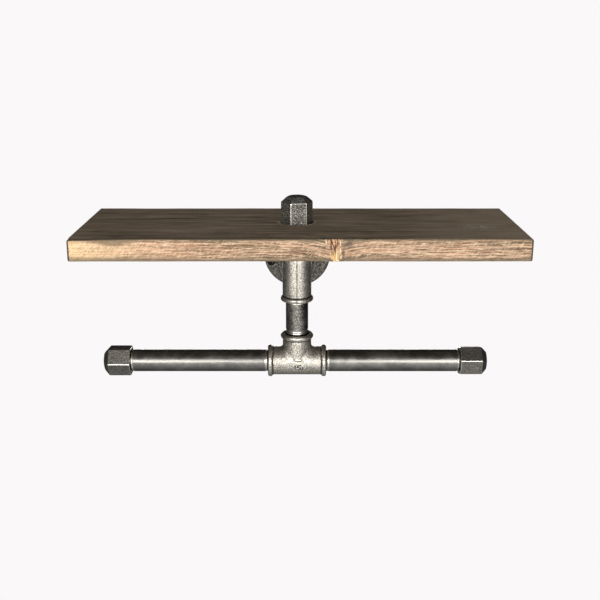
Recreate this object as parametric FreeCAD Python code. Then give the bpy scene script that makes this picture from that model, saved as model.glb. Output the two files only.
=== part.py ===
import FreeCAD, Part
import math
import os

# A wall shelf carried by one length of half-inch threaded iron pipe, with a T-bar
# below it whose two arms each take a roll.
#
# Frame: the origin is the centre of the wall flange's back face, on the wall.
# +X is to the right, +Y points into the wall and +Z is up, all in millimetres.

# --- shelf board -----------------------------------------------------------------
board_length = 400.0
board_depth = 144.0
board_thickness = 19.5
board_offset = 3.0           # middle of the board, to the right of the pipe
board_back_gap = 0.5         # the board's back edge stands clear of the flange's plate
board_edge_radius = 1.6
hole_play = 1.2              # the board's hole is wider than the pipe by this much

# --- half-inch pipe and its thread ----------------------------------------------
pipe_od = 21.3
pipe_wall = 2.6
thread_pitch = 1.814
thread_height = 1.162        # crest to root, on one side
thread_skim = 0.1725         # taken off the pipe's outside before the thread is cut
thread_gap = 0.05            # radial play between a screwed end and its socket
thread_showing = 2.6         # thread left outside a fitting when it is tight
pipe_end_chamfer = 0.8

# --- screwed lengths ------------------------------------------------------------
wall_nipple_showing = 30.0
riser_showing = 33.0
arm_length = 152.4           # both arms are cut to the same length
nipple_engaged = 13.0
left_arm_engaged = 10.0      # the left arm is screwed in less than the right one
right_arm_engaged = 11.6

# --- tees -----------------------------------------------------------------------
tee_reach = 28.0             # centre to the face of each mouth
run_wall = 3.2               # walls are measured outside the thread's crests
outlet_wall = 3.0
bead_wall = 5.0
tee_crotch_radius = 3.4
bead_width = 4.4
bead_rounding = 1.7
bead_root = 1.0              # how far the bead's ring reaches into the tee's wall
thread_depth = 15.0          # threaded depth of every socket
mouth_chamfer = 1.6

# --- caps -----------------------------------------------------------------------
cap_wall = 2.5               # at the middle of a flat
cap_hexagon_length = 20.8
cap_length = 26.6
cap_slope = 44.5             # degrees, between the sloping facets and the end plane
cap_crown_radius = 40.0
cap_bore_depth = 19.5
cap_bite = 1.3               # the top cap is tightened until it sinks this far into the wood
cap_seat_play = 0.4          # round the corners of the cap, where they turned in the wood
top_cap_turn = 7.6           # degrees each cap stopped at when it came up tight
left_cap_turn = 32.0
right_cap_turn = 14.0

# --- wall flange ----------------------------------------------------------------
flange_od = 67.0
flange_plate = 6.0
flange_height = 18.0
flange_rim_rounding = 1.5
hub_wall = 5.0
hub_root_wall = 6.5
hub_root_radius = 4.0
hub_rim_rounding = 1.2
screw_circle = 54.0
screw_count = 4
screw_hole = 5.0
screw_sink = 9.0
first_screw_angle = 16.0     # degrees from +X

# --- directions and the places that follow from the sizes above ------------------
RIGHT = FreeCAD.Vector(1, 0, 0)
LEFT = FreeCAD.Vector(-1, 0, 0)
TO_WALL = FreeCAD.Vector(0, 1, 0)
FROM_WALL = FreeCAD.Vector(0, -1, 0)
UP = FreeCAD.Vector(0, 0, 1)
DOWN = FreeCAD.Vector(0, 0, -1)

pipe_bore = pipe_od - 2 * pipe_wall
thread_major = pipe_od - 2 * thread_skim
thread_minor = thread_major - 2 * thread_height
tee_run_od = thread_major + 2 * run_wall
tee_outlet_od = thread_major + 2 * outlet_wall
bead_od = thread_major + 2 * bead_wall
hub_od = thread_major + 2 * hub_wall
hub_root_od = thread_major + 2 * hub_root_wall
cap_across_flats = thread_major + 2 * cap_wall
cap_corner_radius = cap_across_flats / 2 / math.cos(math.pi / 6)

pipe_y = -(flange_height + wall_nipple_showing + tee_reach)
board_bottom = tee_reach
board_top = board_bottom + board_thickness
board_back = -(flange_plate + board_back_gap)
lower_tee_z = -(tee_reach + riser_showing + tee_reach)
left_arm_showing = arm_length - 2 * left_arm_engaged
right_arm_showing = arm_length - 2 * right_arm_engaged

upper_tee_centre = FreeCAD.Vector(0, pipe_y, 0)
lower_tee_centre = FreeCAD.Vector(0, pipe_y, lower_tee_z)
top_cap_mouth = FreeCAD.Vector(0, pipe_y, board_top - cap_bite)
left_cap_mouth = lower_tee_centre + LEFT * (tee_reach + left_arm_showing)
right_cap_mouth = lower_tee_centre + RIGHT * (tee_reach + right_arm_showing)


def place(shape, start, direction):
    """Stand a shape that was made along +Z at start, along direction."""
    shape.Placement = FreeCAD.Placement(start, FreeCAD.Rotation(UP, direction))
    return shape


def turned(corners, start, direction):
    """Turn an outline of (radius, height, rounding) corners into a solid about its axis."""
    points = [FreeCAD.Vector(radius, 0, height) for radius, height, rounding in corners]
    edges = []
    arc_ends = []
    for index, (radius, height, rounding) in enumerate(corners):
        corner = points[index]
        if rounding == 0:
            arc_ends.append((corner, corner, None))
            continue
        to_last = (points[index - 1] - corner).normalize()
        to_next = (points[(index + 1) % len(points)] - corner).normalize()
        half_angle = to_last.getAngle(to_next) / 2
        inward = (to_last + to_next).normalize()
        setback = rounding / math.tan(half_angle)
        middle = corner + inward * (rounding / math.sin(half_angle) - rounding)
        arc_ends.append((corner + to_last * setback, corner + to_next * setback, middle))
    for index, (arc_start, arc_end, middle) in enumerate(arc_ends):
        if middle is not None:
            edges.append(Part.Arc(arc_start, middle, arc_end).toShape())
        next_start = arc_ends[(index + 1) % len(arc_ends)][0]
        if arc_end.distanceToPoint(next_start) > 0.001:
            edges.append(Part.LineSegment(arc_end, next_start).toShape())
    face = Part.Face(Part.Wire(edges))
    solid = face.revolve(FreeCAD.Vector(0, 0, 0), UP, 360)
    return place(solid, start, direction)


def thread_outline(first, last, offset):
    """Corners of the ring-shaped thread between two heights, from the mouth at height 0.

    Roots and crests stand at fixed steps of half a pitch from the mouth, so a pipe's
    thread and its socket's thread always mesh. The offset moves the whole flank in or out.
    """
    half_pitch = thread_pitch / 2
    step = math.ceil(first / half_pitch)
    corners = []
    while step * half_pitch < last:
        crest = step % 2 == 0
        radius = (thread_major if crest else thread_minor) / 2 + offset
        corners.append((radius, step * half_pitch, 0))
        step = step + 1
    return corners


def pipe_end(height, inward, engaged):
    """Outline of one threaded pipe end; height is the mouth of the fitting it enters."""
    end_radius = thread_minor / 2 - thread_gap
    thread = thread_outline(-thread_showing, engaged - pipe_end_chamfer, -thread_gap)
    corners = [(end_radius - pipe_end_chamfer, height - inward * engaged, 0)]
    corners.append((end_radius, height - inward * (engaged - pipe_end_chamfer), 0))
    for radius, depth, rounding in reversed(thread):
        corners.append((radius, height - inward * depth, rounding))
    root = thread_minor / 2
    run_out = thread_showing + (pipe_od / 2 - root)
    corners.append((root, height + inward * thread_showing, 0))
    corners.append((pipe_od / 2, height + inward * run_out, 0))
    return corners


def pipe(first_mouth, direction, showing, first_engaged, last_engaged):
    """A length of pipe threaded at both ends, between two mouths that are showing apart."""
    first_end = pipe_end(0, 1, first_engaged)
    last_end = pipe_end(showing, -1, last_engaged)
    bore = [(pipe_bore / 2, showing + last_engaged, 0), (pipe_bore / 2, -first_engaged, 0)]
    outline = first_end + list(reversed(last_end)) + bore
    return turned(outline, first_mouth, direction)


def socket_cutter(mouth, inward, reach):
    """The space inside a threaded socket, from its mouth to reach, with a chamfered mouth."""
    corners = [(0, 0, 0)] + thread_outline(0, thread_depth, 0)
    corners.append((thread_minor / 2, thread_depth, 0))
    corners.append((thread_minor / 2, reach, 0))
    corners.append((0, reach, 0))
    thread = turned(corners, mouth, inward)
    chamfer_radius = (thread_major + mouth_chamfer) / 2
    chamfer = Part.makeCone(chamfer_radius, thread_minor / 2, mouth_chamfer, mouth, inward)
    return thread.fuse(chamfer)


def bead(mouth, inward):
    """The rounded collar that is cast round a tee's mouth."""
    inner = tee_outlet_od / 2 - bead_root
    corners = [(inner, 0, 0), (bead_od / 2, 0, bead_rounding),
               (bead_od / 2, bead_width, bead_rounding), (inner, bead_width, 0)]
    return turned(corners, mouth, inward)


def tee(centre, run_direction, outlet_direction):
    """A beaded tee: a straight run, one outlet square to it, and three threaded mouths."""
    run_start = centre - run_direction * tee_reach
    run = Part.makeCylinder(tee_run_od / 2, 2 * tee_reach, run_start, run_direction)
    outlet = Part.makeCylinder(tee_outlet_od / 2, tee_reach, centre, outlet_direction)
    body = run.fuse(outlet)
    crotch = [edge for edge in body.Edges if edge.Curve.TypeId == "Part::GeomBSplineCurve"]
    body = body.makeFillet(tee_crotch_radius, crotch)
    for outward in (run_direction, run_direction * -1, outlet_direction):
        mouth = centre + outward * tee_reach
        body = body.fuse(bead(mouth, outward * -1))
    for outward in (run_direction, run_direction * -1, outlet_direction):
        mouth = centre + outward * tee_reach
        body = body.cut(socket_cutter(mouth, outward * -1, tee_reach))
    return body


def hexagon(across_flats, height, turn):
    """A regular hexagon, square to +Z, whose first corner stands turn degrees from +X."""
    corner_radius = across_flats / 2 / math.cos(math.pi / 6)
    corners = []
    for index in range(7):
        angle = math.radians(turn + 60 * index)
        x = corner_radius * math.cos(angle)
        y = corner_radius * math.sin(angle)
        corners.append(FreeCAD.Vector(x, y, height))
    return Part.makePolygon(corners)


def cap(mouth, outward, turn):
    """A hexagonal cap whose end slopes in on six facets to a low round crown."""
    slope_height = cap_length - cap_hexagon_length
    top_flats = cap_across_flats - 2 * slope_height / math.tan(math.radians(cap_slope))
    base = hexagon(cap_across_flats, 0, turn)
    shoulder = hexagon(cap_across_flats, cap_hexagon_length, turn)
    top = hexagon(top_flats, cap_length, turn)
    prism = Part.makeLoft([base, shoulder], True, True)
    slopes = Part.makeLoft([shoulder, top], True, True)
    crown_centre = FreeCAD.Vector(0, 0, cap_length - cap_crown_radius)
    crown = Part.makeSphere(cap_crown_radius, crown_centre)
    end = slopes.common(crown)
    body = prism.fuse(end).removeSplitter()
    body = place(body, mouth, outward)
    return body.cut(socket_cutter(mouth, outward, cap_bore_depth))


def wall_flange():
    """The round flange: a plate with four sunk screw holes and a threaded hub."""
    corners = [(0, 0, 0), (flange_od / 2, 0, 0),
               (flange_od / 2, flange_plate, flange_rim_rounding),
               (hub_root_od / 2, flange_plate, hub_root_radius),
               (hub_od / 2, flange_height, hub_rim_rounding), (0, flange_height, 0)]
    body = turned(corners, FreeCAD.Vector(0, 0, 0), FROM_WALL)
    mouth = FROM_WALL * flange_height
    body = body.cut(socket_cutter(mouth, TO_WALL, flange_height))
    for index in range(screw_count):
        angle = math.radians(first_screw_angle + 360 / screw_count * index)
        x = screw_circle / 2 * math.cos(angle)
        z = screw_circle / 2 * math.sin(angle)
        back = FreeCAD.Vector(x, 0, z)
        hole = Part.makeCylinder(screw_hole / 2, flange_plate, back, FROM_WALL)
        sink_depth = (screw_sink - screw_hole) / 2
        sink_start = back + FROM_WALL * (flange_plate - sink_depth)
        sink = Part.makeCone(screw_hole / 2, screw_sink / 2, sink_depth, sink_start, FROM_WALL)
        body = body.cut(hole.fuse(sink))
    return body


def shelf_board():
    """The plank, with every edge eased, one hole for the pipe and the dent under the cap."""
    left = board_offset - board_length / 2
    corner = FreeCAD.Vector(left, board_back - board_depth, board_bottom)
    plank = Part.makeBox(board_length, board_depth, board_thickness, corner)
    plank = plank.makeFillet(board_edge_radius, plank.Edges)
    hole_start = FreeCAD.Vector(0, pipe_y, board_bottom)
    hole = Part.makeCylinder((pipe_od + hole_play) / 2, board_thickness, hole_start, UP)
    seat_radius = cap_corner_radius + cap_seat_play
    seat = Part.makeCylinder(seat_radius, cap_bite, top_cap_mouth, UP)
    return plank.cut(hole).cut(seat)


nodes = {
    "shelf_board": shelf_board(),
    "wall_flange": wall_flange(),
    "wall_nipple": pipe(FROM_WALL * flange_height, FROM_WALL, wall_nipple_showing,
                        nipple_engaged, nipple_engaged),
    "upper_tee": tee(upper_tee_centre, UP, TO_WALL),
    "shelf_nipple": pipe(upper_tee_centre + UP * tee_reach, UP, board_thickness - cap_bite,
                         nipple_engaged, nipple_engaged),
    "top_cap": cap(top_cap_mouth, UP, top_cap_turn),
    "riser_nipple": pipe(upper_tee_centre + DOWN * tee_reach, DOWN, riser_showing,
                         nipple_engaged, nipple_engaged),
    "lower_tee": tee(lower_tee_centre, RIGHT, UP),
    "left_arm_pipe": pipe(lower_tee_centre + LEFT * tee_reach, LEFT, left_arm_showing,
                          left_arm_engaged, left_arm_engaged),
    "right_arm_pipe": pipe(lower_tee_centre + RIGHT * tee_reach, RIGHT, right_arm_showing,
                           right_arm_engaged, right_arm_engaged),
    "left_cap": cap(left_cap_mouth, LEFT, left_cap_turn),
    "right_cap": cap(right_cap_mouth, RIGHT, right_cap_turn),
}

os.makedirs("parts", exist_ok=True)
for name, shape in nodes.items():
    solid = shape.Solids[0]
    solid.exportStep("parts/" + name + ".step")
    print(name, len(shape.Solids), solid.isValid(), round(solid.Volume, 1))
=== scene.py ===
import itertools
import math

import bpy
import numpy as np
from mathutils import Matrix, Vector


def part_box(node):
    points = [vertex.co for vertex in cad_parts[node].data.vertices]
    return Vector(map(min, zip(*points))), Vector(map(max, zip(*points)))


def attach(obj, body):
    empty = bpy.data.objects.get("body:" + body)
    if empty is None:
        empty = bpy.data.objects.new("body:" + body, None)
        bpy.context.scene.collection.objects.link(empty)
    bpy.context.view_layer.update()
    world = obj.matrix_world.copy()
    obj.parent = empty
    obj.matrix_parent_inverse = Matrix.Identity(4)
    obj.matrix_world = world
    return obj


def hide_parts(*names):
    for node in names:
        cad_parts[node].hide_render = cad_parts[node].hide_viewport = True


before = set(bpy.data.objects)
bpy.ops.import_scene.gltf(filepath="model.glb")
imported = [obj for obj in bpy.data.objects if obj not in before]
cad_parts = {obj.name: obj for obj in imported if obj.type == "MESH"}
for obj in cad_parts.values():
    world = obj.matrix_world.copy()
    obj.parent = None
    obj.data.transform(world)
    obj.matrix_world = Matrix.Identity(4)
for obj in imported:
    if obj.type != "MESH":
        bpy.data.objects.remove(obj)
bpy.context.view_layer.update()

# ---------------------------------------------------------------------------------------
# Shelf board. A short plank of planed pine, sawn to length, its edges eased by hand with
# sandpaper, then wiped with a dark stain that the front edge took only lightly. It is bored
# for the pipe and clamped between the tee below and the cap above, which has sunk into it.
# ---------------------------------------------------------------------------------------
MM = 0.001

board_low, board_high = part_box("shelf_board")
board_middle = (board_low + board_high) / 2
board_size = board_high - board_low
board_easing = 1.3 * MM
top_spacing = 1.6 * MM
edge_spacing = 0.9 * MM
underside_spacing = 3.2 * MM
seat_spacing = 0.6 * MM              # finer round the pipe, where the cap marked the wood
seat_reach = 22.0 * MM
easing_steps = 5
board_hole_radius = 11.25 * MM
cap_seat_radius = 15.4 * MM
cap_bite = 1.3 * MM                  # how far the cap has sunk into the wood
drill_reach = 30.0 * MM              # above the plank, and down through it
crushed_ring_radius = 16.6 * MM      # where wood is pushed up round the cap
crushed_ring_width = 0.8 * MM
sanding_width = 3.5 * MM             # from an edge of the plank
rubbed_length = 70.0 * MM            # of the top, from its left front corner
rubbed_width = 12.0 * MM
rubbed_depth = 5.0 * MM
pipe_axis_y = (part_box("riser_nipple")[0].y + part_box("riser_nipple")[1].y) / 2

knot_x = 34.0 * MM                   # foot of the knot on the front edge
knot_half_width = 7.0 * MM
knot_depth = 9.0 * MM
knot_fan_start = 15.0 * MM           # how far below the plank its fan of fibres starts


def noise(points, grain, seed):
    """Smooth noise from -1 to 1 at each point, in lumps of the size grain along X, Y, Z."""
    cells = points / np.asarray(grain, dtype=float) + seed * 31.7
    corner = np.floor(cells).astype(np.int64)
    part = cells - corner
    part = part * part * (3 - 2 * part)
    total = np.zeros(len(points))
    for step in itertools.product((0, 1), repeat=3):
        step = np.array(step)
        key = (corner + step) @ np.array([73856093, 19349663, 83492791]) + seed * 7919
        key = (key ^ (key >> 13)) * 1274126177
        value = ((key ^ (key >> 16)) & 65535) / 32767.5 - 1
        total += value * np.prod(np.where(step == 1, part, 1 - part), axis=1)
    return total


def rise(values, low, high):
    """0 below low, 1 above high and a smooth step between them."""
    part = np.clip((values - low) / (high - low), 0, 1)
    return part * part * (3 - 2 * part)


def points_of(mesh):
    """A mesh's vertices and their normals, as two arrays."""
    points = np.empty(len(mesh.vertices) * 3)
    normals = np.empty(len(mesh.vertices) * 3)
    mesh.vertices.foreach_get("co", points)
    mesh.vertices.foreach_get("normal", normals)
    return points.reshape(-1, 3), normals.reshape(-1, 3)


def set_points(mesh, points):
    mesh.vertices.foreach_set("co", points.ravel())
    mesh.update()


def new_piece(name, mesh):
    piece = bpy.data.objects.new(name, mesh)
    bpy.context.scene.collection.objects.link(piece)
    return piece


def skin(name, rows, closed_ends):
    """A mesh over rows of points, each a closed loop; closed_ends joins last to first."""
    count, around = rows.shape[:2]
    index = np.arange(count * around).reshape(count, around)
    if closed_ends:
        index = np.concatenate([index, index[:1]])
    here = index[:-1]
    there = index[1:]
    quads = np.stack([here, np.roll(here, -1, 1), np.roll(there, -1, 1), there], 2)
    mesh = bpy.data.meshes.new(name)
    mesh.from_pydata(rows.reshape(-1, 3).tolist(), [], quads.reshape(-1, 4).tolist())
    mesh.polygons.foreach_set("use_smooth", [True] * len(mesh.polygons))
    return new_piece(name, mesh)


def settle(piece):
    """Apply a piece's modifiers."""
    bpy.context.view_layer.update()
    seen = piece.evaluated_get(bpy.context.evaluated_depsgraph_get())
    mesh = bpy.data.meshes.new_from_object(seen)
    piece.modifiers.clear()
    piece.data = mesh
    mesh.polygons.foreach_set("use_smooth", [True] * len(mesh.polygons))


def places_between(start, end, spacing, centre):
    """Places after start and before end, closer together near centre."""
    places = []
    place = start
    way = 1 if end > start else -1
    while True:
        near = abs(place + way * spacing / 2 - centre) < seat_reach
        place += way * (seat_spacing if near else spacing)
        if (end - place) * way < seat_spacing:
            return places
        places.append(place)


def plank_section():
    """Points round the plank's section, as offsets from its middle along Y and Z."""
    inner_y = board_size.y / 2 - board_easing
    inner_z = board_size.z / 2 - board_easing
    hole_y = pipe_axis_y - board_middle.y
    far_off = 9.0                    # metres, so that nothing here is made finer
    along_y, along_z = 0, 1
    sides = [
        (-1, -1, along_z, edge_spacing, far_off),
        (-1, 1, along_y, top_spacing, hole_y),
        (1, 1, along_z, 2 * edge_spacing, far_off),
        (1, -1, along_y, underside_spacing, far_off),
    ]
    section = []
    for index, (side_y, side_z, axis, spacing, fine_at) in enumerate(sides):
        centre = np.array([side_y * inner_y, side_z * inner_z])
        for step in range(easing_steps + 1):
            angle = math.radians(270 - 90 * index - 90 * step / easing_steps)
            bend = np.array([math.cos(angle), math.sin(angle)])
            section.append(centre + board_easing * bend)
        corner = section[-1]
        for place in places_between(corner[axis], -corner[axis], spacing, fine_at):
            point = corner.copy()
            point[axis] = place
            section.append(point)
    return np.array(section)


def plank_columns():
    """Stations along the plank: (place along X, how far the section is inset there)."""
    half_x = board_size.x / 2
    face_rings = 6
    end = []
    for step in range(face_rings):
        closing = (board_size.z / 2 - board_easing) * (1 - step / face_rings)
        end.append((half_x, board_easing + closing))
    for step in range(easing_steps + 1):
        angle = math.pi / 2 * step / easing_steps
        end.append((half_x - board_easing * (1 - math.cos(angle)),
                    board_easing * (1 - math.sin(angle))))
    inner = half_x - board_easing
    middle = [(place, 0.0) for place in
              places_between(inner, -inner, top_spacing, -board_middle.x)]
    return end + middle + [(-place, inset) for place, inset in reversed(end)]


def make_board():
    section = plank_section()
    halves = np.array([board_size.y / 2, board_size.z / 2])
    rows = []
    for place, inset in plank_columns():
        ring = section * (halves - inset) / halves
        row = np.column_stack([np.full(len(ring), place), ring])
        rows.append(row + np.array(board_middle))
    board = skin("shelf_board_pine", np.array(rows), False)
    weld = board.modifiers.new("weld", "WELD")
    weld.merge_threshold = 0.01 * MM
    settle(board)

    points, normals = points_of(board.data)
    from_front = points[:, 1] - board_low.y
    from_back = board_high.y - points[:, 1]
    from_top = board_high.z - points[:, 2]
    from_bottom = points[:, 2] - board_low.z
    from_left = points[:, 0] - board_low.x
    from_end = np.minimum(from_left, board_high.x - points[:, 0])
    depths = np.sort(np.stack([np.minimum(from_front, from_back),
                               np.minimum(from_top, from_bottom), from_end]), axis=0)
    near_edge = 1 - rise(depths[1], 0.3 * MM, sanding_width)
    # Heights here are in millimetres: waves of the planed faces, edges sanded by hand, a
    # swelling at the knot, and a front corner that use has rubbed down.
    wave = 0.10 * noise(points, (0.09, 0.05, 0.05), 1)
    wave += 0.05 * noise(points, (0.02, 0.012, 0.012), 2)
    sanded = near_edge * (0.02 + 0.12 * noise(points, (0.022, 0.02, 0.02), 3))
    swelling = 0.22 * np.exp(-((points[:, 0] - knot_x) / knot_half_width) ** 2
                             - (from_front / knot_depth) ** 2)
    swelling *= 0.7 + 0.6 * noise(points, (0.0015, 0.004, 0.006), 4)
    lift = 0.08 + wave - sanded + swelling
    rubbed = 1 - rise(from_left, 0, rubbed_length)
    rubbed *= 1 - rise(from_front, 0, rubbed_width)
    rubbed *= 1 - rise(from_top, 0, rubbed_depth)
    from_pipe = np.hypot(points[:, 0], points[:, 1] - pipe_axis_y)
    away_from_fittings = rise(from_pipe, 19 * MM, 26 * MM)
    points += normals * (lift * away_from_fittings * MM)[:, None]
    points[:, 2] -= rubbed * MM
    crushed = np.exp(-((from_pipe - crushed_ring_radius) / crushed_ring_width) ** 2)
    crushed *= 0.20 * (0.8 + 0.9 * noise(points, (0.004, 0.004, 0.01), 5))
    points[:, 2] += np.where(from_top < 0.5 * MM, crushed * MM, 0)
    set_points(board.data, points)

    for radius, depth in ((board_hole_radius, drill_reach), (cap_seat_radius, cap_bite)):
        bpy.ops.mesh.primitive_cylinder_add(
            vertices=96, radius=radius, depth=drill_reach + depth,
            location=(0, pipe_axis_y, board_high.z + (drill_reach - depth) / 2))
        drill = bpy.context.object
        bored = board.modifiers.new("bored", "BOOLEAN")
        bored.object = drill
        bored.solver = "EXACT"
        settle(board)
        bpy.data.objects.remove(drill)
    board.data.set_sharp_from_angle(angle=math.radians(50))
    return board


def linear(colour):
    """The linear red, green, blue and alpha of an sRGB hex colour."""
    parts = [int(colour[place:place + 2], 16) / 255 for place in (1, 3, 5)]
    return [part / 12.92 if part <= 0.04045 else ((part + 0.055) / 1.055) ** 2.4
            for part in parts] + [1.0]


def add(tree, kind, links=None, stops=None, **settings):
    """Add a node. Settings are its properties, and links its inputs' values or what feeds
    them: an output, or a node, which gives the first output that it has switched on."""
    node = tree.nodes.new("ShaderNode" + kind)
    for name, value in settings.items():
        setattr(node, name, value)
    if stops:
        ramp = node.color_ramp
        while len(ramp.elements) < len(stops):
            ramp.elements.new(1.0)
        for element, (place, shade) in zip(ramp.elements, stops):
            element.position = place
            element.color = linear(shade) if isinstance(shade, str) else [shade] * 3 + [1.0]
    for socket, value in (links or {}).items():
        if isinstance(value, bpy.types.Node):
            value = next(output for output in value.outputs if output.enabled)
        if isinstance(value, bpy.types.NodeSocket):
            tree.links.new(value, node.inputs[socket])
        elif isinstance(value, str):
            node.inputs[socket].default_value = linear(value)
        else:
            node.inputs[socket].default_value = value
    return node


def new_material(name):
    """An empty material, its node tree, and the place on the object in millimetres."""
    material = bpy.data.materials.new(name)
    material.use_nodes = True
    tree = material.node_tree
    tree.nodes.clear()
    place = add(tree, "TexCoord").outputs["Object"]
    in_mm = add(tree, "VectorMath", {0: place, 1: (1000, 1000, 1000)}, operation="MULTIPLY")
    return material, tree, in_mm


def coated(tree, colour, coats):
    """A colour with others laid over it in turn. Each coat has what it follows, the value
    of that where it begins and where it is full, its strength when full, the share of the
    strength that is kept there, and its colour."""
    for follows, begins, full, strength, kept, coat in coats:
        share = add(tree, "MapRange", {"Value": follows, "From Min": begins,
                    "From Max": full, "To Min": 0.0, "To Max": strength})
        share = add(tree, "Math", {0: share, 1: kept}, operation="MULTIPLY")
        colour = add(tree, "Mix", {0: share, 6: colour, 7: coat}, data_type="RGBA")
    return colour


def stained_pine():
    """Pine, planed, sanded and wiped with walnut stain: long streaks from the growth rings,
    dark on the faces and pale tan where the front edge was sanded back, nearly matt."""
    material, tree, mm = new_material("pine_planed_sanded_and_stained")
    front = board_low.y / MM
    top = board_high.z / MM
    bottom = board_low.z / MM
    left_end = board_low.x / MM
    right_end = board_high.x / MM
    foot_x = knot_x / MM
    fan_bottom = bottom - knot_fan_start / MM
    pith = (0.0, front - 12.0, bottom - 58.0)
    ring_spacing = 2.7
    grain_wander = 9.0
    dip_depth = 6.5                  # how far the grain dips round the knot
    dip_half_width = 17.0
    knot_lean = 0.09                 # sideways for each millimetre up
    sanding_angle = math.radians(50)
    stain_run_x = -160.0             # where the stain ran down over the front edge
    stain_pool_x = -20.0             # where it pooled on the top, in front of the cap
    scrape = (163.0, -99.0, top)
    cap_ring_radius = 16.9

    # Grain space: every streak runs along X, wanders a little, and dips round the knot.
    x, y, z = add(tree, "SeparateXYZ", {0: mm}).outputs
    slow = add(tree, "VectorMath", {0: mm, 1: (0.006, 0.015, 0.02)}, operation="MULTIPLY")
    drift = add(tree, "TexNoise", {"Vector": slow, "Scale": 1.0, "Detail": 3.0})
    to_foot = add(tree, "Math", {0: x, 1: foot_x}, operation="SUBTRACT")
    in_widths = add(tree, "Math", {0: to_foot, 1: dip_half_width}, operation="DIVIDE")
    squared = add(tree, "Math", {0: in_widths, 1: 2.0}, operation="POWER")
    spread = add(tree, "Math", {0: squared, 1: 1.0}, operation="ADD")
    near_front = add(tree, "MapRange", {"Value": y, "From Min": front + 8.0,
                     "From Max": front + 40.0, "To Min": 1.0, "To Max": 0.0})
    dip = add(tree, "Math", {0: near_front, 1: spread}, operation="DIVIDE")
    dipped = add(tree, "Math", {0: dip, 1: dip_depth, 2: z}, operation="MULTIPLY_ADD")
    wandered = add(tree, "Math", {0: drift, 1: grain_wander, 2: dipped},
                   operation="MULTIPLY_ADD")
    grain = add(tree, "CombineXYZ", {0: x, 1: y, 2: wandered})

    # Fan space, for the knot: its fibres spread from a point below the plank.
    leaning = add(tree, "Math", {0: z, 1: knot_lean, 2: x}, operation="MULTIPLY_ADD")
    fan_x = add(tree, "Math", {0: leaning, 1: foot_x + knot_lean * bottom},
                operation="SUBTRACT")
    fan_z = add(tree, "Math", {0: z, 1: fan_bottom}, operation="SUBTRACT")
    slope = add(tree, "Math", {0: fan_x, 1: fan_z}, operation="DIVIDE")
    fan = add(tree, "CombineXYZ", {0: slope, 1: y, 2: z})

    # Coarse sandpaper was rubbed askew up the front edge.
    askew = add(tree, "VectorRotate", {"Vector": mm, "Angle": sanding_angle},
                rotation_type="Y_AXIS")

    # Patterns: the space each lies in, its lumps in a millimetre along X, Y and Z, its
    # detail and its roughness. Fibres are finer than half a millimetre and sanding marks
    # 0.3 mm apart; they are drawn about 0.7 and 1 mm wide so that they show.
    patterns = []
    for space, in_a_mm, detail, roughness in (
            (grain, (0.035, 0.9, 1.35), 4.0, 0.62),
            (grain, (0.10, 1.0, 1.6), 3.0, 0.7),
            (grain, (0.008, 0.06, 0.23), 3.0, 0.5),
            (grain, (0.012, 0.19, 0.3), 4.0, 0.65),
            (fan, (26.0, 0.05, 0.13), 3.0, 0.6),
            (askew, (0.26, 0.5, 0.95), 1.0, 0.5),
            (mm, (0.02, 0.035, 0.06), 4.0, 0.5),
            (mm, (0.5, 0.2, 0.3), 3.0, 0.5),
            (mm, (0.3, 0.45, 0.3), 4.0, 0.7)):
        place = add(tree, "VectorMath", {0: space, 1: in_a_mm}, operation="MULTIPLY")
        patterns.append(add(tree, "TexNoise", {"Vector": place, "Scale": 1.0,
                            "Detail": detail, "Roughness": roughness}))
    (fibres, dashes, bands, streaks, fan_streaks,
     sanding, patches, torn, scratches) = patterns

    # How far a point is from a few places, with a scale for each axis.
    distances = []
    for space, centre, scale in (
            (grain, pith, (0, 1, 1)),
            (mm, (0.0, pipe_axis_y / MM, 0.0), (1, 1, 0)),
            (mm, scrape, (0.045, 0.07, 0.5)),
            (mm, (foot_x + 10.0, front, top - 4.5), (0.22, 0.1, 0.24)),
            (mm, (foot_x + 6.0, front, bottom + 7.0), (0.5, 0.1, 0.17))):
        offset = add(tree, "VectorMath", {0: space, 1: centre}, operation="SUBTRACT")
        scaled = add(tree, "VectorMath", {0: offset, 1: scale}, operation="MULTIPLY")
        distances.append(add(tree, "VectorMath", {0: scaled}, operation="LENGTH"))
    from_pith, from_pipe, from_scrape, from_pocket, from_check = distances

    # The growth rings are circles round the pith, which ran along X under the front edge.
    ring_count = add(tree, "Math", {0: from_pith, 1: ring_spacing}, operation="DIVIDE")
    ring = add(tree, "Math", {0: ring_count}, operation="FRACT")
    late_wood = add(tree, "ValToRGB", {"Fac": ring}, stops=[
        (0.0, 0.15), (0.3, 0.0), (0.55, 0.2), (0.84, 1.0), (0.93, 0.9), (1.0, 0.15)])

    # Front edge: peach where the stain was sanded off, olive grey where it stayed. Its left
    # end was sanded barest and is calmest.
    pale = add(tree, "ValToRGB", {"Fac": bands}, stops=[
        (0.34, "#756850"), (0.43, "#A68E6C"), (0.50, "#DAA789"), (0.57, "#B9997B"),
        (0.68, "#80715B")])
    bare = add(tree, "ValToRGB", {"Fac": bands}, stops=[
        (0.34, "#EABA92"), (0.46, "#FFD2A6"), (0.53, "#FBC2A0"), (0.68, "#FACA9B")])
    calm = add(tree, "MapRange", {"Value": x, "From Min": -195.0, "From Max": -60.0,
               "To Min": 0.25, "To Max": 1.0})
    rubbed_askew = add(tree, "MapRange", {"Value": x, "From Min": -100.0,
                       "From Max": -10.0, "To Min": 1.0, "To Max": 0.3})

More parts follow.
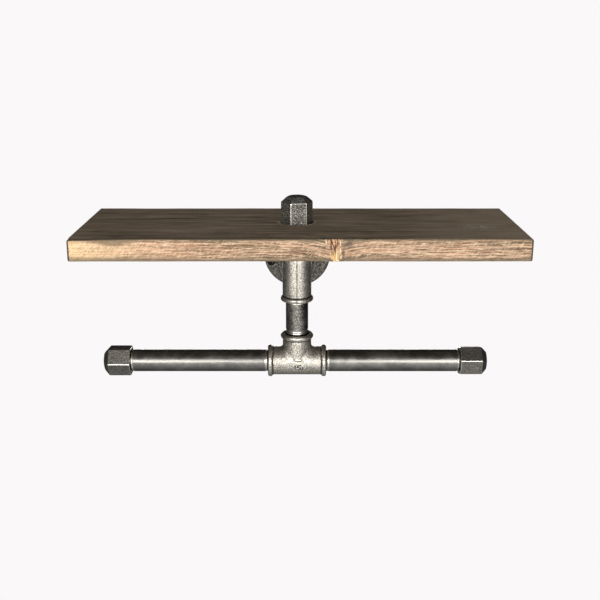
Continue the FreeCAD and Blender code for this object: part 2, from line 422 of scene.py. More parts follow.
    # The front edge is darker along its top and bottom rims and its ends, in a ragged line.
    to_run = add(tree, "Math", {0: x, 1: stain_run_x}, operation="SUBTRACT")
    off_run = add(tree, "Math", {0: to_run}, operation="ABSOLUTE")
    stain_foot = add(tree, "MapRange", {"Value": off_run, "From Min": 4.0, "From Max": 26.0,
                     "To Min": top - 1.9, "To Max": top + 1.1})
    below_top = add(tree, "Math", {0: stain_foot, 1: z}, operation="SUBTRACT")
    above_foot = add(tree, "Math", {0: z, 1: bottom + 1.0}, operation="SUBTRACT")
    rim = add(tree, "Math", {0: below_top, 1: above_foot}, operation="MINIMUM")
    ragged_rim = add(tree, "Math", {0: patches, 1: -5.0, 2: rim}, operation="MULTIPLY_ADD")
    from_left = add(tree, "Math", {0: x, 1: left_end}, operation="SUBTRACT")
    from_right = add(tree, "Math", {0: right_end, 1: x}, operation="SUBTRACT")
    from_end = add(tree, "Math", {0: from_left, 1: from_right}, operation="MINIMUM")
    ragged_end = add(tree, "Math", {0: dashes, 1: -1.6, 2: from_end},
                     operation="MULTIPLY_ADD")

    # Knot: the foot of a branch, yellow low down and red-brown above, with a dark bark
    # pocket at its right and a thin check beside its foot.
    heart = add(tree, "ValToRGB", {"Fac": fan_streaks}, stops=[
        (0.38, "#5A3729"), (0.45, "#94654A"), (0.51, "#C9A079"), (0.60, "#F6DDB6")])
    foot = add(tree, "ValToRGB", {"Fac": fan_streaks}, stops=[
        (0.36, "#BC935E"), (0.48, "#E9C78E"), (0.60, "#FFF2CE")])
    height = add(tree, "MapRange", {"Value": z, "From Min": bottom + 4.0,
                 "From Max": bottom + 11.0, "To Min": 0.0, "To Max": 1.0})
    knot = add(tree, "Mix", {0: height, 6: foot, 7: heart}, data_type="RGBA")
    steepness = add(tree, "Math", {0: slope}, operation="ABSOLUTE")
    ragged_knot = add(tree, "Math", {0: torn, 1: 0.62, 2: steepness},
                      operation="MULTIPLY_ADD")
    ragged_pocket = add(tree, "Math", {0: torn, 1: 1.2, 2: from_pocket},
                        operation="MULTIPLY_ADD")
    ragged_check = add(tree, "Math", {0: sanding, 1: 1.4, 2: from_check},
                       operation="MULTIPLY_ADD")

    front_wood = coated(tree, pale, (
        (x, -30.0, -195.0, 0.95, 1.0, bare),
        (x, -130.0, -190.0, 0.75, 1.0, "#FFDDA6"),
        (late_wood, 0.0, 1.0, 0.95, calm, "#735A43"),
        (fibres, 0.46, 0.60, 0.95, calm, "#664C39"),
        (dashes, 0.49, 0.64, 0.8, 1.0, "#FFDDBC"),
        (sanding, 0.52, 0.68, 0.42, rubbed_askew, "#7A6650"),
        (sanding, 0.46, 0.32, 0.3, 1.0, "#FFE4C0"),
        (ragged_rim, 1.6, -1.4, 0.72, 1.0, "#6D6250"),
        (ragged_end, 1.2, 0.5, 0.95, 1.0, "#453A2F"),
        (ragged_knot, 0.53, 0.45, 1.0, 1.0, knot),
        (ragged_pocket, 1.7, 0.9, 0.8, 1.0, "#6B5A4C"),
        (ragged_check, 1.7, 0.9, 0.85, 1.0, "#5E4234")))

    # Faces: dark walnut stain, a little lighter in patches and along some streaks of early
    # wood. More of it lies along the front of the top.
    fine_part = add(tree, "Math", {0: fibres, 1: 0.42}, operation="MULTIPLY")
    both_grains = add(tree, "Math", {0: streaks, 1: 0.58, 2: fine_part},
                      operation="MULTIPLY_ADD")
    dark = add(tree, "ValToRGB", {"Fac": both_grains}, stops=[
        (0.36, "#4F4336"), (0.45, "#6E5F4C"), (0.50, "#85715C"), (0.56, "#8F7D67"),
        (0.66, "#B29D81")])
    to_pool = add(tree, "Math", {0: x, 1: stain_pool_x}, operation="SUBTRACT")
    off_pool = add(tree, "Math", {0: to_pool}, operation="ABSOLUTE")
    pooled = add(tree, "MapRange", {"Value": off_pool, "From Min": 30.0,
                 "From Max": 130.0, "To Min": 1.0, "To Max": 0.3})

    # Scuffs on the top: a ring where the cap's corners turned, and a scrape further out.
    on_ring = add(tree, "Math", {0: from_pipe, 1: cap_ring_radius, 2: 1.5},
                  operation="COMPARE")
    on_scrape = add(tree, "MapRange", {"Value": from_scrape, "From Min": 0.3,
                    "From Max": 1.0, "To Min": 1.0, "To Max": 0.0})
    scuffed = add(tree, "Math", {0: on_ring, 1: on_scrape}, operation="MAXIMUM")

    # The end grain drank the most stain, and the underside was stained first and twice.
    # The stain on the faces ends in a ragged line along the eased front edges, higher up
    # towards the right where more of the edge was sanded.
    facing = add(tree, "NewGeometry").outputs["Normal"]
    normal_x, normal_y, normal_z = add(tree, "SeparateXYZ", {0: facing}).outputs
    to_end = add(tree, "Math", {0: normal_x}, operation="ABSOLUTE")
    end_rings = add(tree, "Mix", {0: late_wood, 6: "#5B4B3A", 7: "#2B221A"},
                    data_type="RGBA")
    wrap = add(tree, "MapRange", {"Value": x, "From Min": -80.0, "From Max": 5.0,
               "To Min": 0.0, "To Max": -0.32})
    wrapped = add(tree, "Math", {0: normal_y, 1: wrap}, operation="ADD")
    ragged_front = add(tree, "Math", {0: dashes, 1: 0.5, 2: wrapped},
                       operation="MULTIPLY_ADD")

    wood = coated(tree, dark, (
        (late_wood, 0.0, 1.0, 0.22, 1.0, "#554739"),
        (patches, 0.42, 0.68, 0.35, 1.0, "#8E7C68"),
        (y, front + 14.0, front + 3.0, 0.42, pooled, "#43382D"),
        (x, 80.0, 190.0, 0.42, 1.0, "#A6937C"),
        (scratches, 0.49, 0.55, 0.95, scuffed, "#AAA497"),
        (to_end, 0.5, 0.8, 0.8, 1.0, end_rings),
        (normal_z, -0.5, -0.8, 0.65, 1.0, "#5A544E"),
        (ragged_front, -0.38, -0.60, 1.0, 1.0, front_wood)))

    relief = add(tree, "Math", {0: late_wood, 1: 0.5, 2: fibres}, operation="MULTIPLY_ADD")
    bump = add(tree, "Bump", {"Height": relief, "Strength": 0.5, "Distance": 0.00022})
    roughness = add(tree, "MapRange", {"Value": fibres, "To Min": 0.55, "To Max": 0.75})
    shader = add(tree, "BsdfPrincipled", {"Base Color": wood, "Roughness": roughness,
                 "Normal": bump, "IOR": 1.5, "Specular IOR Level": 0.3})
    add(tree, "OutputMaterial", {"Surface": shader})
    return material


board = make_board()
board.data.materials.append(stained_pine())
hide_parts("shelf_board")
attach(board, "root")

# ---------------------------------------------------------------------------------------
# Wall flange, tees and caps. Malleable iron fittings, cast in sand and left with their cast
# skin: a fine orange-peel grain, soft corners, and on the tees a thin ridge where the two
# halves of the mould met. Only their threads are cut, and everything screws into them.
# ---------------------------------------------------------------------------------------
cast_voxel = 0.45 * MM
coarse_grain_size = 1.5 * MM
coarse_grain_height = 0.016
fine_grain_size = 0.9 * MM
fine_grain_height = 0.035
seam_height = 0.22
seam_half_width = 0.45 * MM
numeral_height = 6.4 * MM
numeral_relief = 0.9 * MM
numeral_boldness = 0.16 * MM
numeral_sink = 1.2 * MM              # half their thickness, most of it in the tee
figure_share = 0.72                  # a figure's height in its type size
tee_run_radius = 13.68 * MM
crotch_reach = 2.6 * MM              # how far the moulder's fillet spreads
crotch_passes = 130
mouth_radius = 12.0 * MM
threaded_pipes = ("wall_nipple", "shelf_nipple", "riser_nipple", "left_arm_pipe",
                  "right_arm_pipe")


def store(mesh, name, values):
    """Keep a value for each vertex under a name that the material reads."""
    mesh.attributes.new(name, "FLOAT", "POINT").data.foreach_set("value", values)


def neighbour_mean(mesh, values):
    """The mean of each vertex's neighbours' values."""
    ends = np.empty(len(mesh.edges) * 2, dtype=np.int64)
    mesh.edges.foreach_get("vertices", ends)
    ends = ends.reshape(-1, 2)
    total = np.zeros_like(values)
    count = np.zeros(len(values))
    for first, second in ((0, 1), (1, 0)):
        np.add.at(total, ends[:, first], values[ends[:, second]])
        np.add.at(count, ends[:, first], 1)
    return total / np.maximum(count, 1).reshape((-1,) + (1,) * (values.ndim - 1))


def in_a_mouth(points):
    """Where a fitting's surface lies close round one of the pipes, inside its mouth."""
    found = np.zeros(len(points), dtype=bool)
    for node in threaded_pipes:
        low, high = [np.array(corner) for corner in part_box(node)]
        off = np.abs(points - (low + high) / 2)
        reach = (high - low) / 2
        along = np.argmax(reach)
        across = np.delete(off, along, axis=1)
        found |= (off[:, along] < reach[along]) & (np.hypot(*across.T) < mouth_radius)
    return found


def mark_wear_highlight_and_shade(mesh):
    """Store up to 1 on convex edges, paler from burnishing and from a painted highlight,
    and down to -1 in hollows and mouths, which get painted shade.
    """
    points, normals = points_of(mesh)
    for count in range(2):
        points = (points + neighbour_mean(mesh, points)) / 2
    curvature = np.sum((points - neighbour_mean(mesh, points)) * normals, axis=1)
    curvature /= cast_voxel ** 2 / MM
    for count in range(2):
        curvature = (curvature + neighbour_mean(mesh, curvature)) / 2
    # Convex edges: paler from burnishing and a painted highlight. Hollows: painted shade.
    wear_highlight_and_shade = rise(curvature, 0.05, 0.15) - rise(-curvature, 0.025, 0.09)
    # Fittings' mouths round the pipes get full painted shade.
    wear_highlight_and_shade[in_a_mouth(points)] = -1
    store(mesh, "wear_highlight_and_shade", wear_highlight_and_shade)
    return wear_highlight_and_shade


def numerals(text, centre):
    """Raised figures, turned a quarter to the right, that follow the tee's round front."""
    curve = bpy.data.curves.new("numerals", "FONT")
    curve.body = text
    curve.size = numeral_height / figure_share
    curve.space_character = 1.7
    curve.offset = numeral_boldness
    curve.align_x = "CENTER"
    curve.align_y = "CENTER"
    curve.extrude = numeral_sink
    writing = new_piece("numerals", curve)
    bpy.context.view_layer.update()
    seen = writing.evaluated_get(bpy.context.evaluated_depsgraph_get())
    mesh = bpy.data.meshes.new_from_object(seen)
    bpy.data.objects.remove(writing)
    down, right, out = points_of(mesh)[0].T
    z = centre.z - down
    surface = np.sqrt(tee_run_radius ** 2 - (z - bar_axis_z) ** 2)
    y = pipe_axis_y - surface - out + numeral_sink - numeral_relief
    set_points(mesh, np.column_stack([centre.x + right, y, z]))
    return mesh


def blend_crotch(piece, outlet, centre_z):
    """Soften a tee only where its outlet meets its run, as the moulder's fillet does."""
    x, y, z = (points_of(piece.data)[0] - [0, pipe_axis_y, centre_z]).T
    if outlet == "up":
        from_run = np.abs(np.hypot(y, z) - tee_run_radius)
        from_outlet = np.abs(np.hypot(x, y) - tee_run_radius)
        inside = z > -3 * MM
    else:
        from_run = np.abs(np.hypot(x, y) - tee_run_radius)
        from_outlet = np.abs(np.hypot(x, z) - tee_run_radius)
        inside = y > -3 * MM
    near = np.exp(-(np.maximum(from_run, from_outlet) / crotch_reach) ** 2) * inside
    near *= rise(np.abs(x), 3.5 * MM, 6 * MM)
    outer = np.maximum(np.hypot(x, y), np.hypot(y, z)) > mouth_radius
    group = piece.vertex_groups.new(name="crotch")
    levels = np.round(near * outer * 10).astype(int)
    for level in range(1, 11):
        chosen = np.nonzero(levels == level)[0].tolist()
        if chosen:
            group.add(chosen, level / 10, "REPLACE")
    smooth = piece.modifiers.new("crotch", "SMOOTH")
    smooth.vertex_group = "crotch"
    smooth.factor = 0.5
    smooth.iterations = crotch_passes
    settle(piece)


def cast_skin(node, material, soften, seam=None, raised=None, outlet=None):
    """The sand-cast surface over a fitting: soft corners, grain, and a mould seam where the
    function seam says how far a point is from the mould's parting plane. Raised is a mesh
    that stands out of it, and outlet the way a tee's branch points."""
    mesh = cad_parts[node].data.copy()
    mesh.materials.clear()
    piece = new_piece(node + "_cast", mesh)
    if raised is not None:
        extra = new_piece("raised", raised)
        with bpy.context.temp_override(active_object=piece,
                                       selected_editable_objects=[piece, extra]):
            bpy.ops.object.join()
    weld = piece.modifiers.new("weld", "WELD")
    weld.merge_threshold = 0.002 * MM
    remesh = piece.modifiers.new("remesh", "REMESH")
    remesh.mode = "VOXEL"
    remesh.voxel_size = cast_voxel
    smooth = piece.modifiers.new("smooth", "SMOOTH")
    smooth.factor = 0.5
    smooth.iterations = soften
    settle(piece)
    if outlet is not None:
        blend_crotch(piece, outlet, 0.0 if outlet == "back" else bar_axis_z)
    wear_highlight_and_shade = mark_wear_highlight_and_shade(piece.data)
    points, normals = points_of(piece.data)
    lift = coarse_grain_height * noise(points, (coarse_grain_size,) * 3, 11)
    lift += fine_grain_height * noise(points, (fine_grain_size,) * 3, 12)
    lift *= 1 - np.clip(wear_highlight_and_shade, 0, 1)
    if seam is not None:
        distance = seam(points)
        ragged = 1 + 0.5 * noise(points, (0.003,) * 3, 13)
        parted = np.exp(-(distance / seam_half_width) ** 2)
        lift += seam_height * parted * ragged
        store(piece.data, "seam", parted * ragged)
    points += normals * (lift * MM)[:, None]
    set_points(piece.data, points)
    piece.data.materials.append(material)
    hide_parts(node)
    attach(piece, "root")


def malleable_iron(finish, shades, burnish_and_highlight_colour, painted_shade_colour, bump_strength, roughness):
    """Malleable iron as cast: grey metal with a grainy skin that scatters the light widely,
    paler on convex edges from burnishing and a painted highlight, and brown-black painted
    shade in hollows and mouths."""
    material, tree, mm = new_material("malleable_iron_" + finish)
    dark, middle, light, bright = shades
    burnished_roughness = 0.26
    # Sand grains are about 0.3 mm; they are drawn 0.8 mm wide so that they show.
    grains = add(tree, "TexNoise", {"Vector": mm, "Scale": 1.25, "Detail": 1.0,
                 "Roughness": 0.5})
    pits = add(tree, "TexVoronoi", {"Vector": mm, "Scale": 0.85})
    blotches = add(tree, "TexNoise", {"Vector": mm, "Scale": 0.12, "Detail": 3.0})
    grey = add(tree, "ValToRGB", {"Fac": grains},
               stops=[(0.36, dark), (0.47, middle), (0.55, light), (0.66, bright)])
    wear_highlight_and_shade = add(tree, "Attribute", attribute_name="wear_highlight_and_shade").outputs["Fac"]
    seam = add(tree, "Attribute", attribute_name="seam").outputs["Fac"]
    # Edges: burnished colour and a painted highlight; hollows and mouths: painted shade.
    burnish_and_highlight_share = add(tree, "MapRange", {"Value": wear_highlight_and_shade, "From Min": 0.05, "From Max": 1.0,
                     "To Min": 0.0, "To Max": 0.85})
    hollow_shade_share = add(tree, "MapRange", {"Value": wear_highlight_and_shade, "From Min": -0.05, "From Max": -1.0,
                     "To Min": 0.0, "To Max": 0.92})
    seam_share = add(tree, "Math", {0: seam, 1: 0.85}, operation="MULTIPLY")
    shade_and_seam_share = add(tree, "Math", {0: hollow_shade_share, 1: seam_share}, operation="MAXIMUM")
    cast_colour = coated(tree, grey, (
        (blotches, 0.45, 0.7, 0.35, 1.0, dark),
        (burnish_and_highlight_share, 0.0, 1.0, 1.0, 1.0, burnish_and_highlight_colour),
        (shade_and_seam_share, 0.0, 1.0, 1.0, 1.0, painted_shade_colour)))
    height = add(tree, "Math", {0: pits, 1: 0.5, 2: grains}, operation="MULTIPLY_ADD")
    grainy = add(tree, "MapRange", {"Value": burnish_and_highlight_share, "From Min": 0.0, "From Max": 0.4,
                 "To Min": bump_strength, "To Max": 0.0})
    bump = add(tree, "Bump", {"Height": height, "Strength": grainy, "Distance": 0.00045})
    rough = add(tree, "MapRange", {"Value": burnish_and_highlight_share, "From Min": 0.0, "From Max": 0.85,
                "To Min": roughness, "To Max": burnished_roughness})
    shader = add(tree, "BsdfPrincipled", {"Base Color": cast_colour, "Metallic": 1.0,
                 "Roughness": rough, "Normal": bump})
    add(tree, "OutputMaterial", {"Surface": shader})
    return material


bar_axis_z = (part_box("left_arm_pipe")[0].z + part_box("left_arm_pipe")[1].z) / 2
# Each finish: greys, edge colour (burnish and painted highlight), painted shade colour.
blasted_iron = malleable_iron("shot_blasted", ("#85827B", "#C2BDB3", "#DED9CE", "#F9F5EC"),
                              "#F9F5EC", "#26231F", 0.5, 0.47)
oiled_iron = malleable_iron("oiled", ("#605D59", "#7E7B75", "#918E88", "#ADA9A3"),
                            "#EAE6DE", "#24211F", 0.3, 0.52)
dry_iron = malleable_iron("dry", ("#474542", "#77746F", "#96928D", "#DAD6CE"),
                          "#EAE6DE", "#24211F", 0.8, 0.66)
rough_iron = malleable_iron("rough_cast", ("#3A3835", "#595652", "#726E69", "#989389"),
                            "#7E7A74", "#24211F", 0.45, 0.5)


def upper_tee_seam(points):
    return points[:, 0]


def lower_tee_seam(points):
    return points[:, 1] - pipe_axis_y


size_figures = numerals("15", Vector((1.4 * MM, 0, bar_axis_z + 1.0 * MM)))
cast_skin("wall_flange", rough_iron, 2)
cast_skin("upper_tee", blasted_iron, 2, upper_tee_seam, outlet="back")
cast_skin("lower_tee", blasted_iron, 2, lower_tee_seam, size_figures, "up")
cast_skin("top_cap", dry_iron, 1)
cast_skin("left_cap", oiled_iron, 1)
cast_skin("right_cap", oiled_iron, 1)

# ---------------------------------------------------------------------------------------
# Pipes. Half-inch welded steel tube with a bare, lightly oiled mill finish. Each end is cut
# with a right-hand thread, whose last shallow turns stay in sight outside the fitting and
# shine, because the die cut through the dark skin of the tube.
# ---------------------------------------------------------------------------------------
tube_radius = 10.65 * MM
tube_bore_radius = 8.05 * MM
crest_radius = 10.42 * MM
thread_depth = 1.162 * MM
thread_pitch = 1.814 * MM
thread_run_out = 1.6 * MM
shallow_share = 0.12                 # depth of the turns that stay outside the fitting
end_chamfer = 0.8 * MM
around_tube = 96
thread_rows_per_turn = 8
plain_row_spacing = 1.6 * MM
dent_size = 14.0 * MM


def thread_radius(depth_in, angles, hand, showing):
    """Radius of a pipe at each angle, depth_in being how far inside the fitting it is: a V
    groove with a narrow flat at its crest and root, which runs out along the tube."""
    turns = depth_in / thread_pitch + hand * angles / (2 * math.pi)
    groove = np.abs(2 * (turns - np.floor(turns)) - 1)
    groove = np.clip(groove * 1.25 - 0.12, 0, 1)
    inside = float(rise(np.array(depth_in), -1.6 * MM, 1.2 * MM))
    outside = float(rise(np.array(-depth_in), showing, showing + thread_run_out))
    share = (shallow_share + (1 - shallow_share) * inside) * (1 - outside)
    cut = crest_radius - thread_depth * groove * share
    return cut + (tube_radius - crest_radius) * outside


def pipe_rows(length, engaged, showing):
    """Rows of points along a pipe on +Z, from its first end to its last and back inside."""
    angles = np.arange(around_tube) * 2 * math.pi / around_tube
    ring = np.column_stack([np.cos(angles), np.sin(angles)])
    fine = thread_pitch / thread_rows_per_turn
    threaded, last_threaded = [inside + outside + thread_run_out
                               for inside, outside in zip(engaged, showing)]
    plain = length - threaded - last_threaded
    places = list(np.arange(end_chamfer, threaded, fine))
    places += list(threaded + plain * np.linspace(0, 1, int(plain / plain_row_spacing) + 2))
    places += list(length - np.arange(end_chamfer, last_threaded, fine)[::-1])
    rows = []

    def row(radius, place):
        radius = np.broadcast_to(radius, angles.shape)
        rows.append(np.column_stack([ring * radius[:, None], np.full(around_tube, place)]))

    chamfered = crest_radius - thread_depth - end_chamfer * 0.6
    row(chamfered, 0.0)
    for place in places:
        if place < length / 2:
            row(thread_radius(engaged[0] - place, angles, 1, showing[0]), place)
        else:
            row(thread_radius(engaged[1] - (length - place), angles, -1, showing[1]), place)
    row(chamfered, length)
    row(tube_bore_radius + 0.2 * MM, length)
    bore_steps = max(4, int(length / (8 * MM)))
    for place in np.linspace(length - 0.3 * MM, 0.3 * MM, bore_steps):
        row(tube_bore_radius, place)
    row(tube_bore_radius + 0.2 * MM, 0.0)
    return np.array(rows)


def unroll(mesh, rows):
    """UV in metres, U round the pipe and V along it, so that a pattern follows the tube."""
    count, around = rows.shape[:2]
    girth = 2 * math.pi * tube_radius
    row_index, column = np.meshgrid(np.arange(count), np.arange(around), indexing="ij")
    next_row = (row_index + 1) % count
    corner_rows = np.stack([row_index, row_index, next_row, next_row], 2)
    corner_columns = np.stack([column, column + 1, column + 1, column], 2)
    u = corner_columns / around * girth
    v = rows[:, 0, 2][corner_rows]
    layer = mesh.uv_layers.new(name="unrolled")
    layer.data.foreach_set("uv", np.stack([u, v], 3).ravel())


def make_pipe(node, tube_steel, direction, engaged, showing, dents, seed):
    """A pipe in the place of a node, from its first end along direction. For each end,
    engaged is how far it is screwed in and showing how much of its thread is in sight."""
    low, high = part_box(node)
    direction = Vector(direction)
    middle = (low + high) / 2
    length = abs((high - low).dot(direction))
    start = np.array(middle - direction * length / 2)
    rows = pipe_rows(length, engaged, showing)
    turn = np.array(direction.to_track_quat("Z", "Y").to_matrix())
    piece = skin(node + "_steel", rows @ turn.T + start, True)
    unroll(piece.data, rows)
    points, normals = points_of(piece.data)
    along = (points - start) @ np.array(direction)
    first_cut, last_cut = [inside + outside + thread_run_out
                           for inside, outside in zip(engaged, showing)]
    plain = rise(along, first_cut, first_cut + 3 * MM)
    plain *= rise(length - along, last_cut, last_cut + 3 * MM)
    lift = dents * noise(points, (dent_size,) * 3, seed)
    lift += 0.005 * noise(points, (0.003,) * 3, seed + 1)
    points += normals * (lift * plain * MM)[:, None]
    set_points(piece.data, points)
    # Painted shade on the thread from just outside a fitting's mouth inwards.
    into_mouth = np.maximum(along - (length - engaged[1]), engaged[0] - along)
    mouth_shade = rise(into_mouth, -0.9 * MM, -0.5 * MM)
    store(piece.data, "mouth_shade", mouth_shade)
    piece.data.materials.append(tube_steel)
    piece.data.materials.append(cut_steel)
    middles = np.empty(len(piece.data.polygons) * 3)
    piece.data.polygons.foreach_get("center", middles)
    along = (middles.reshape(-1, 3) - start) @ np.array(direction)
    is_cut = (along < first_cut - 0.3 * MM) | (along > length - last_cut + 0.3 * MM)
    piece.data.polygons.foreach_set("material_index", is_cut.astype(int))
    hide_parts(node)
    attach(piece, "root")


def mill_finish_tube(finish, shades, specks_begin, roughness):
    """Welded steel tube with a bare mill finish: smooth and dark grey, drawn in faint lines
    and mottled, so that its highlight is bright but broken."""
    material, tree, mm = new_material("welded_steel_tube_" + finish)
    # Draw lines are finer than 0.2 mm; they are drawn 0.9 mm wide so that they show.
    unrolled = add(tree, "UVMap", uv_map="unrolled")
    drawn = add(tree, "VectorMath", {0: unrolled, 1: (1100, 28, 1)}, operation="MULTIPLY")
    lines = add(tree, "TexNoise", {"Vector": drawn, "Scale": 1.0, "Detail": 3.0,
                "Roughness": 0.6})
    mottle = add(tree, "TexNoise", {"Vector": mm, "Scale": 0.07, "Detail": 5.0,
                 "Roughness": 0.65})
    scuffs = add(tree, "TexNoise", {"Vector": mm, "Scale": 0.9, "Detail": 3.0,
                 "Roughness": 0.7})
    specks = add(tree, "TexNoise", {"Vector": mm, "Scale": 0.8, "Detail": 2.0})
    grey = add(tree, "ValToRGB", {"Fac": mottle},
               stops=[(0.36, shades[0]), (0.5, shades[1]), (0.62, shades[2])])
    mill_colour = coated(tree, grey, (
        (lines, 0.5, 0.75, 0.3, 1.0, "#5C5955"),
        (specks, specks_begin, specks_begin + 0.08, 0.7, 1.0, "#C9C5BE")))
    relief = add(tree, "Math", {0: scuffs, 1: 0.6, 2: lines}, operation="MULTIPLY_ADD")
    bump = add(tree, "Bump", {"Height": relief, "Strength": 0.45, "Distance": 0.00012})
    rough = add(tree, "MapRange", {"Value": mottle, "From Min": 0.42, "From Max": 0.60,
                "To Min": roughness[0], "To Max": roughness[1]})
    shader = add(tree, "BsdfPrincipled", {"Base Color": mill_colour, "Metallic": 1.0,
                 "Roughness": rough, "Normal": bump})
    add(tree, "OutputMaterial", {"Surface": shader})
    return material


def fresh_cut_thread():
    """Steel where the die has cut it: bright, with fine tool marks, and brown-black painted
    shade where it runs into the fitting's mouth."""
    material, tree, mm = new_material("steel_thread_die_cut")
    marks = add(tree, "TexNoise", {"Vector": mm, "Scale": 1.2, "Detail": 3.0})
    steel = add(tree, "ValToRGB", {"Fac": marks},
                stops=[(0.34, "#B4B0A8"), (0.5, "#DAD6CE"), (0.66, "#F0EDE6")])
    # Painted shade where the thread runs into a fitting's mouth.
    mouth_shade = add(tree, "Attribute", attribute_name="mouth_shade").outputs["Fac"]
    mouth_shaded = add(tree, "Mix", {0: mouth_shade, 6: steel, 7: "#1F1D1A"}, data_type="RGBA")
    bump = add(tree, "Bump", {"Height": marks, "Strength": 0.3, "Distance": 0.00012})
    shader = add(tree, "BsdfPrincipled", {"Base Color": mouth_shaded, "Metallic": 1.0,
                 "Roughness": 0.36, "Normal": bump})
    add(tree, "OutputMaterial", {"Surface": shader})
    return material


arm_steel = mill_finish_tube("mill_finish", ("#7C7A77", "#8B8986", "#9A9793"), 0.66,
                             (0.30, 0.41))
nipple_steel = mill_finish_tube("stained", ("#5A5855", "#706D6A", "#84817C"), 0.54,
                                (0.38, 0.52))
cut_steel = fresh_cut_thread()
nipple_engaged = (13.0 * MM, 13.0 * MM)
left_engaged = (10.0 * MM, 10.0 * MM)
right_engaged = (11.6 * MM, 11.6 * MM)
usual_showing = (1.6 * MM, 1.6 * MM)
riser_showing = (0.4 * MM, 3.9 * MM)
nipple_dents = 0.03                  # millimetres, as are the next two
riser_dents = 0.04
arm_dents = 0.014
make_pipe("wall_nipple", nipple_steel, (0, -1, 0), nipple_engaged, usual_showing,
          nipple_dents, 21)
make_pipe("shelf_nipple", nipple_steel, (0, 0, 1), nipple_engaged, usual_showing, 0.0, 23)
make_pipe("riser_nipple", nipple_steel, (0, 0, -1), nipple_engaged, riser_showing,
          riser_dents, 25)
make_pipe("left_arm_pipe", arm_steel, (-1, 0, 0), left_engaged, usual_showing,
          arm_dents, 27)
make_pipe("right_arm_pipe", arm_steel, (1, 0, 0), right_engaged, usual_showing,
          arm_dents, 29)

# ---------------------------------------------------------------------------------------
# The studio: a pale floor far below the shelf, two broad soft lamps in front and one low
# behind, and plain light from all round. Dark cards far out give the metal its dark sides.
# ---------------------------------------------------------------------------------------
floor_z = -0.62
backdrop_colour = "#FAF8F9"
fill_strength = 0.36
lamp_colour = "#FFFDF8"


def seen_directly(tree):
    """1 where the ray comes from the camera or by way of metal or glass, otherwise 0."""
    path = add(tree, "LightPath").outputs
    seen = add(tree, "Math", {0: path["Is Camera Ray"], 1: path["Is Glossy Ray"]},
               operation="MAXIMUM")
    return add(tree, "Math", {0: seen, 1: path["Is Transmission Ray"]}, operation="MAXIMUM")


def pale_floor():
    """Pale painted floor, lit as evenly as the backdrop, so that no line shows."""
    material, tree = new_material("pale_floor")[:2]
    matt = add(tree, "BsdfDiffuse", {"Color": "#E8E6E6"})
    lit = add(tree, "Emission", {"Color": backdrop_colour, "Strength": 1.0})
    chosen = add(tree, "MixShader", {0: seen_directly(tree), 1: matt, 2: lit})
    add(tree, "OutputMaterial", {"Surface": chosen})
    return material


bpy.ops.mesh.primitive_plane_add(size=30, location=(0, 0, floor_z))
floor = bpy.context.object
floor.name = "floor"
floor.data.materials.append(pale_floor())

world = bpy.data.worlds.new("studio")
bpy.context.scene.world = world
world.use_nodes = True
sky = world.node_tree
sky.nodes.clear()
pale = add(sky, "Background", {"Color": backdrop_colour, "Strength": 1.0})
fill = add(sky, "Background", {"Color": "#FFFFFF", "Strength": fill_strength})
chosen = add(sky, "MixShader", {0: seen_directly(sky), 1: fill, 2: pale})
add(sky, "OutputWorld", {"Surface": chosen})


def card_felt():
    """Black cards above and at the sides, mid grey below and low down in front."""
    material, tree, mm = new_material("black_and_grey_cards")
    x, y, z = add(tree, "SeparateXYZ", {0: mm}).outputs
    to_side = add(tree, "Math", {0: x}, operation="ABSOLUTE")
    shades = []
    for place, start, end, shade_there, shade_beyond in (
            (z, 100.0, -350.0, 0.0, 1.0),
            (y, 300.0, -1500.0, 0.04, 0.22),
            (y, 0.0, -900.0, 0.13, 0.85),
            (to_side, 350.0, 1000.0, 1.0, 0.12),
            (x, -700.0, -1800.0, 0.0, 0.02)):
        shades.append(add(tree, "MapRange", {"Value": place, "From Min": start,
                          "From Max": end, "To Min": shade_there, "To Max": shade_beyond}))
    low, upper, lower, side, left = shades
    shade = add(tree, "Mix", {0: low, 2: upper, 3: lower}, data_type="FLOAT")
    glow = add(tree, "Math", {0: shade, 1: side, 2: left}, operation="MULTIPLY_ADD")
    card = add(tree, "Emission", {"Color": "#FFFFFF", "Strength": glow})
    add(tree, "OutputMaterial", {"Surface": card})
    return material


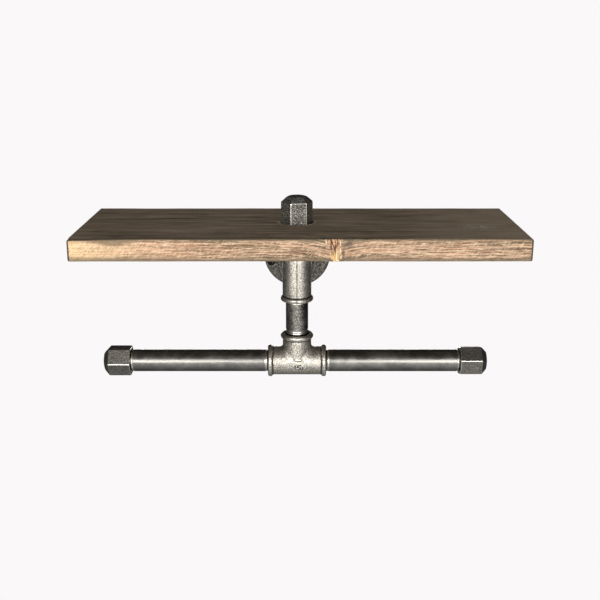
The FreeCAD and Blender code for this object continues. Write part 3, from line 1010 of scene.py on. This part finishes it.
def wall_shade_card():
    """A grey card behind the flange's holes in place of the wall, darker than a pale wall
    so that the holes show painted shade; invisible from behind.
    """
    material, tree = new_material("wall_card_painted_shade")[:2]
    from_behind = add(tree, "NewGeometry").outputs["Backfacing"]
    # Grey darker than a wall, so that the holes show painted shade.
    matt = add(tree, "BsdfDiffuse", {"Color": "#87827B"})
    clear = add(tree, "BsdfTransparent")
    chosen = add(tree, "MixShader", {0: from_behind, 1: matt, 2: clear})
    add(tree, "OutputMaterial", {"Surface": chosen})
    return material


bpy.ops.mesh.primitive_circle_add(vertices=48, radius=31 * MM, fill_type="NGON",
                                  location=(0, 0.6 * MM, 0), rotation=(math.pi / 2, 0, 0))
wall_card = bpy.context.object
wall_card.name = "wall_card"
wall_card.data.materials.append(wall_shade_card())
wall_card.visible_diffuse = False
wall_card.visible_glossy = False
wall_card.visible_shadow = False

card_radius = 2.0
card_height = 2.4
bpy.ops.mesh.primitive_cylinder_add(vertices=64, radius=card_radius, depth=card_height,
                                    location=(0, 0, floor_z + card_height / 2 + 0.02))
cards = bpy.context.object
cards.name = "cards"
cards.data.materials.append(card_felt())
cards.visible_camera = False
cards.visible_diffuse = False
cards.visible_shadow = False
cards.visible_transmission = False


def lamp(name, place, aim, size, power):
    """A softbox of that size and power at a place, turned to the point that it lights."""
    data = bpy.data.lights.new(name, "AREA")
    data.shape = "RECTANGLE"
    data.size, data.size_y = size
    data.energy = power
    data.color = linear(lamp_colour)[:3]
    item = bpy.data.objects.new(name, data)
    bpy.context.scene.collection.objects.link(item)
    item.location = place
    item.rotation_euler = (Vector(aim) - Vector(place)).to_track_quat("-Z", "Y").to_euler()
    item.visible_camera = False


for name, side in (("left_softbox", -1), ("right_softbox", 1)):
    lamp(name, (side * 0.40, -1.10, 0.09), (0, -0.08, 0.0), (0.50, 0.32), 5.1)
lamp("back_softbox", (0.0, 1.70, -0.30), (0, 0, -0.10), (1.0, 0.4), 7.0)

# ---------------------------------------------------------------------------------------
# Camera: opposite the shelf's middle, a little above it and looking down.
# ---------------------------------------------------------------------------------------
camera_data = bpy.data.cameras.new("camera")
camera_data.sensor_width = 36.0
camera_data.lens = 55.70
camera = bpy.data.objects.new("camera", camera_data)
bpy.context.scene.collection.objects.link(camera)
camera.location = (0.00288, -0.92570, 0.21978)
camera.rotation_euler = (math.radians(90 - 16.26), 0, 0)
bpy.context.scene.camera = camera
bpy.context.scene.view_settings.view_transform = "Standard"
